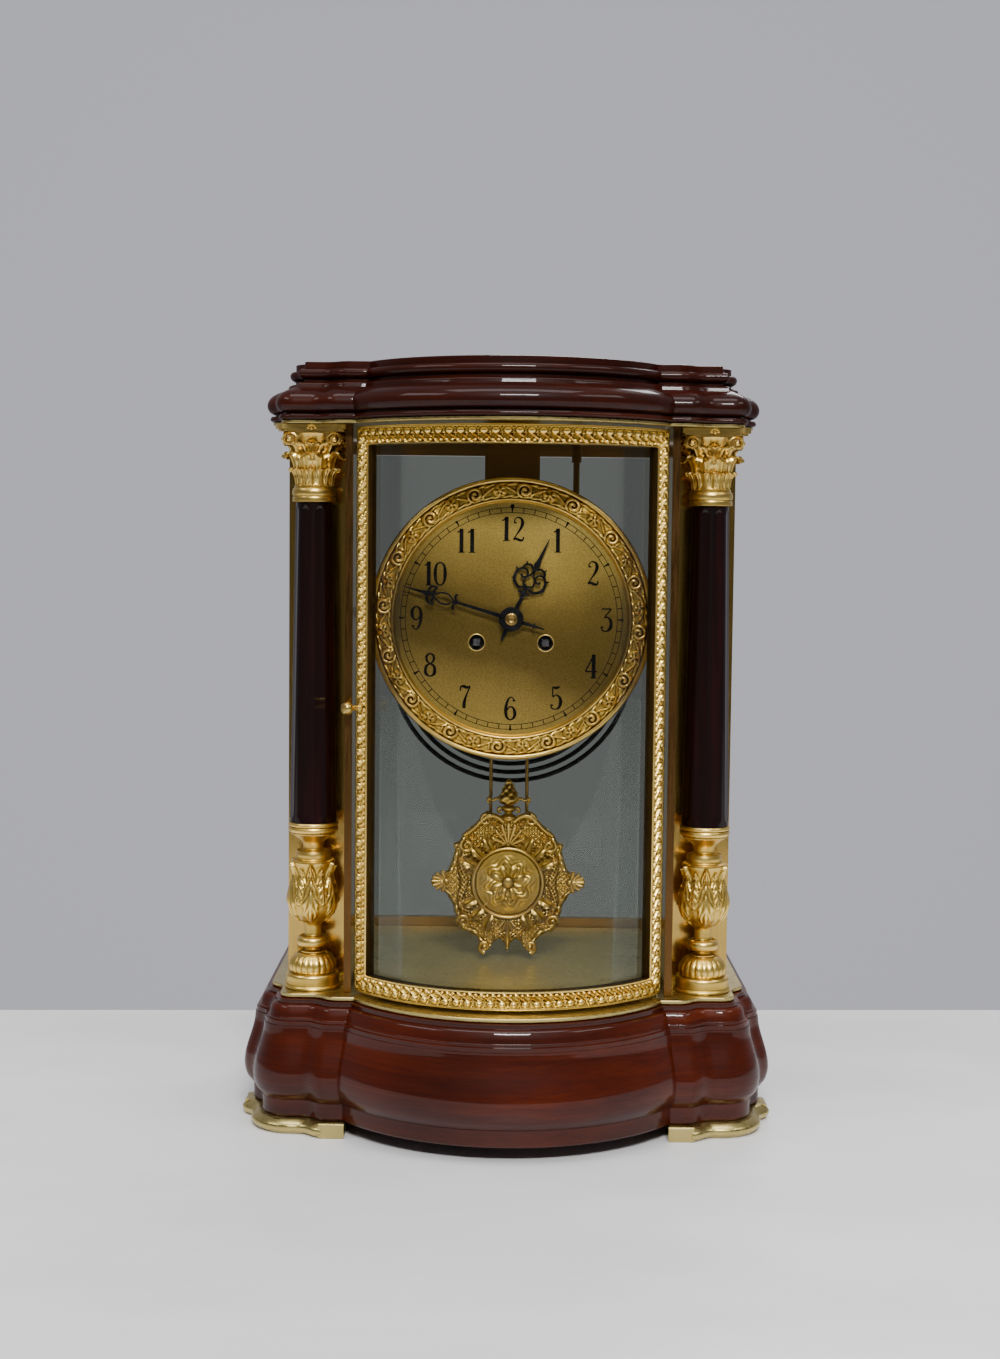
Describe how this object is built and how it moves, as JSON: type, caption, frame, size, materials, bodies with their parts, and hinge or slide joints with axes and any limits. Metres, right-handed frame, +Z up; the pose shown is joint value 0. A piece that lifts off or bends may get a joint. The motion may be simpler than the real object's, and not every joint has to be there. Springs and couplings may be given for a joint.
{
  "type": "four glass mantel clock",
  "caption": "Bow-fronted glazed mantel clock with mahogany base and cornice, front columns, gilt dial surround, striking movement, gong and ornamental pendulum.",
  "frame": {"origin": "on the surface the clock stands on, under the middle of its bounding box", "axes": "+Z up, the front of the clock faces -Y, +X is to the right of someone facing the dial"},
  "size_m": [0.305, 0.2752, 0.43],
  "materials": {
    "mahogany": "French polished, high gloss, dark red-brown",
    "gilt": "satin gilt bronze with burnished highlights",
    "brass": "lacquered polished brass, slightly coppery",
    "dial": "gold brushed metal with black numerals",
    "steel": "fine satin",
    "blued": "black blued steel",
    "glass": "clear, bevelled edges"
  },
  "bodies": {
    "case": {"foot_front_left": "gilt", "foot_front_right": "gilt", "foot_rear_left": "gilt", "foot_rear_right": "gilt", "base_moulding": "mahogany", "base_plate": "brass", "floor_plate": "brass", "top_plate": "brass", "cornice": "mahogany", "column_vase_left": "gilt", "column_vase_right": "gilt", "column_shaft_left": "mahogany", "column_shaft_right": "mahogany", "column_capital_left": "gilt", "column_capital_right": "gilt", "cheek_left": "brass", "cheek_right": "brass", "rear_post_left": "brass", "rear_post_right": "brass", "side_rail_left_bottom": "brass", "side_rail_left_top": "brass", "side_rail_right_bottom": "brass", "side_rail_right_top": "brass", "side_glass_left": "glass", "side_glass_right": "glass", "dial": "dial", "bezel": "gilt", "movement_front_plate": "brass", "movement_back_plate": "brass", "movement_bracket": "brass", "back_cock": "brass", "gong_post": "brass", "gong_coil": "blued"},
    "front_door": {"front_door_frame": "gilt", "front_door_glass": "glass", "front_door_pin_bottom": "steel", "front_door_pin_top": "steel"},
    "front_knob": {"front_door_knob": "gilt"},
    "back_door": {"back_door_frame": "brass", "back_door_glass": "glass", "back_door_pin_bottom": "steel", "back_door_pin_top": "steel"},
    "back_knob": {"back_door_knob": "brass"},
    "minute_work": {"centre_arbor": "steel", "minute_hand": "blued"},
    "hour_work": {"hour_wheel": "brass", "hour_hand": "blued"},
    "minute_wheel_body": {"minute_wheel": "brass"},
    "going_barrel_body": {"going_barrel": "brass"},
    "strike_barrel_body": {"strike_barrel": "brass"},
    "going_winder": {"going_winding_arbor": "steel"},
    "strike_winder": {"strike_winding_arbor": "steel"},
    "escape_body": {"escape_wheel": "brass"},
    "anchor_body": {"anchor": "steel"},
    "pendulum": {"suspension_spring": "steel", "pendulum_frame": "brass", "pendulum_bob": "gilt"},
    "hammer": {"strike_hammer": "steel"}
  },
  "joints": [
    {"name": "front_door_hinge", "type": "hinge", "parent": "case", "child": "front_door", "pos_m": [0.0846, -0.06649, 0.2358], "axis": [0, 0, 1], "range_deg": [0, 90]},
    {"name": "front_knob_turn", "type": "hinge", "parent": "front_door", "child": "front_knob", "pos_m": [-0.08412, -0.07025, 0.2384], "axis": [-0.784, -0.6207, 0], "range_deg": [0, 90]},
    {"name": "back_door_hinge", "type": "hinge", "parent": "case", "child": "back_door", "pos_m": [0.1071, 0.1072, 0.2358], "axis": [0, 0, -1], "range_deg": [0, 100]},
    {"name": "back_knob_turn", "type": "hinge", "parent": "back_door", "child": "back_knob", "pos_m": [-0.10585, 0.1105, 0.2384], "axis": [0, 1, 0], "range_deg": [0, 90]},
    {"name": "minute_hand_turn", "type": "hinge", "parent": "case", "child": "minute_work", "pos_m": [0, -0.0535, 0.2879], "axis": [0, 1, 0], "continuous": true},
    {"name": "hour_hand_turn", "type": "hinge", "parent": "case", "child": "hour_work", "pos_m": [0, -0.0535, 0.2879], "axis": [0, 1, 0], "continuous": true},
    {"name": "minute_wheel_turn", "type": "hinge", "parent": "case", "child": "minute_wheel_body", "pos_m": [-0.0144, -0.041, 0.2879], "axis": [0, 1, 0], "continuous": true},
    {"name": "going_barrel_turn", "type": "hinge", "parent": "case", "child": "going_barrel_body", "pos_m": [0.0194, -0.0326, 0.2744], "axis": [0, 1, 0], "continuous": true},
    {"name": "strike_barrel_turn", "type": "hinge", "parent": "case", "child": "strike_barrel_body", "pos_m": [-0.0194, -0.0294, 0.2744], "axis": [0, 1, 0], "continuous": true},
    {"name": "going_winding_turn", "type": "hinge", "parent": "case", "child": "going_winder", "pos_m": [0.0194, -0.0535, 0.2744], "axis": [0, 1, 0], "continuous": true},
    {"name": "strike_winding_turn", "type": "hinge", "parent": "case", "child": "strike_winder", "pos_m": [-0.0194, -0.0535, 0.2744], "axis": [0, 1, 0], "continuous": true},
    {"name": "escape_wheel_turn", "type": "hinge", "parent": "case", "child": "escape_body", "pos_m": [0, -0.0122, 0.3044], "axis": [0, 1, 0], "continuous": true},
    {"name": "pendulum_swing", "type": "hinge", "parent": "case", "child": "pendulum", "pos_m": [0, 0.0107, 0.3185], "axis": [0, 1, 0], "range_deg": [-4, 4]},
    {"name": "anchor_rock", "type": "hinge", "parent": "case", "child": "anchor_body", "pos_m": [0, -0.0122, 0.3185], "axis": [0, 1, 0], "range_deg": [-4, 4]},
    {"name": "hammer_lift", "type": "hinge", "parent": "case", "child": "hammer", "pos_m": [-0.036, -0.0035, 0.2919], "axis": [0, 1, 0], "range_deg": [0, 12]}
  ],
  "couplings": [
    {"joint": "hour_hand_turn", "follows": "minute_hand_turn", "ratio": 0.083333},
    {"joint": "minute_wheel_turn", "follows": "minute_hand_turn", "ratio": -0.33333},
    {"joint": "going_barrel_turn", "follows": "minute_hand_turn", "ratio": -0.26667},
    {"joint": "anchor_rock", "follows": "pendulum_swing", "ratio": 1}
  ]
}
